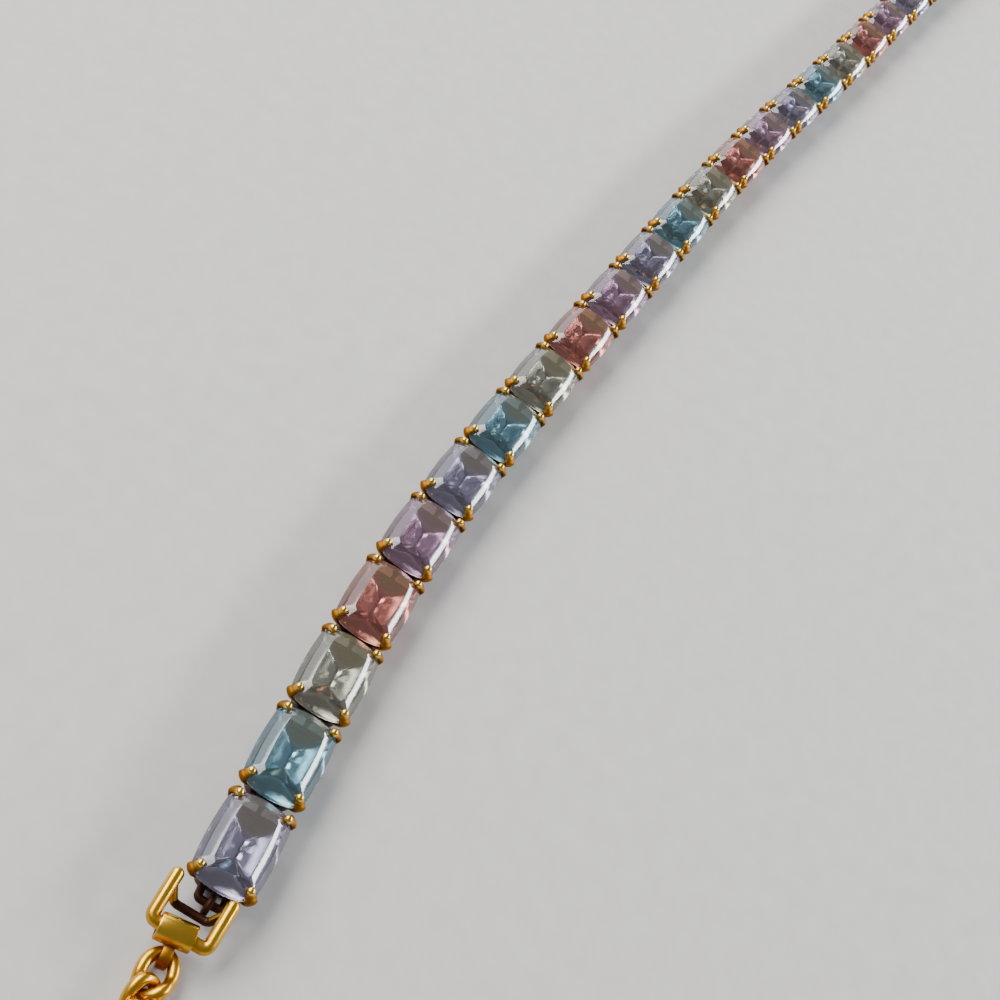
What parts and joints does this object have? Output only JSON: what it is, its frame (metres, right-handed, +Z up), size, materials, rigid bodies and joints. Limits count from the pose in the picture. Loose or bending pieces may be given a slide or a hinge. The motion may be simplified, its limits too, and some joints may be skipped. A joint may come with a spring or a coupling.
{
  "type": "tennis bracelet",
  "caption": "Flexible line bracelet of hinged four-claw cup links with pastel cushion-cut stones, an extender chain and a lobster clasp, laid out open.",
  "frame": {"origin": "middle of the whole bracelet's box at floor level, under the cups", "axes": "+X along the band from the extender chain to the lobster clasp, +Y to the band's left, +Z up out of the stones' tables"},
  "size_m": [0.198, 0.0124, 0.003],
  "materials": {
    "gold": "polished gold plate",
    "stone_lavender": "polished facets",
    "stone_aqua": "polished facets",
    "stone_clear": "polished facets",
    "stone_coral": "polished facets",
    "stone_lilac": "polished facets"
  },
  "bodies": {
    "root": {"setting_01": "gold", "setting_02": "gold", "setting_03": "gold", "setting_04": "gold", "setting_05": "gold", "setting_06": "gold", "setting_07": "gold", "setting_08": "gold", "setting_09": "gold", "setting_10": "gold", "setting_11": "gold", "setting_12": "gold", "setting_13": "gold", "setting_14": "gold", "setting_15": "gold", "setting_16": "gold", "setting_17": "gold", "setting_18": "gold", "setting_19": "gold", "setting_20": "gold", "setting_21": "gold", "setting_22": "gold", "setting_23": "gold", "setting_24": "gold", "setting_25": "gold", "stone_01": "stone_lavender", "stone_02": "stone_aqua", "stone_03": "stone_clear", "stone_04": "stone_coral", "stone_05": "stone_lilac", "stone_06": "stone_lavender", "stone_07": "stone_aqua", "stone_08": "stone_clear", "stone_09": "stone_coral", "stone_10": "stone_lilac", "stone_11": "stone_lavender", "stone_12": "stone_aqua", "stone_13": "stone_clear", "stone_14": "stone_coral", "stone_15": "stone_lilac", "stone_16": "stone_lavender", "stone_17": "stone_aqua", "stone_18": "stone_clear", "stone_19": "stone_coral", "stone_20": "stone_lilac", "stone_21": "stone_lavender", "stone_22": "stone_aqua", "stone_23": "stone_clear", "stone_24": "stone_coral", "stone_25": "stone_lilac", "near_end_frame": "gold", "near_tab": "gold", "extender_chain": "gold", "far_end_frame": "gold", "far_tab": "gold", "jump_ring": "gold", "lobster_clasp": "gold"}
  },
  "joints": []
}
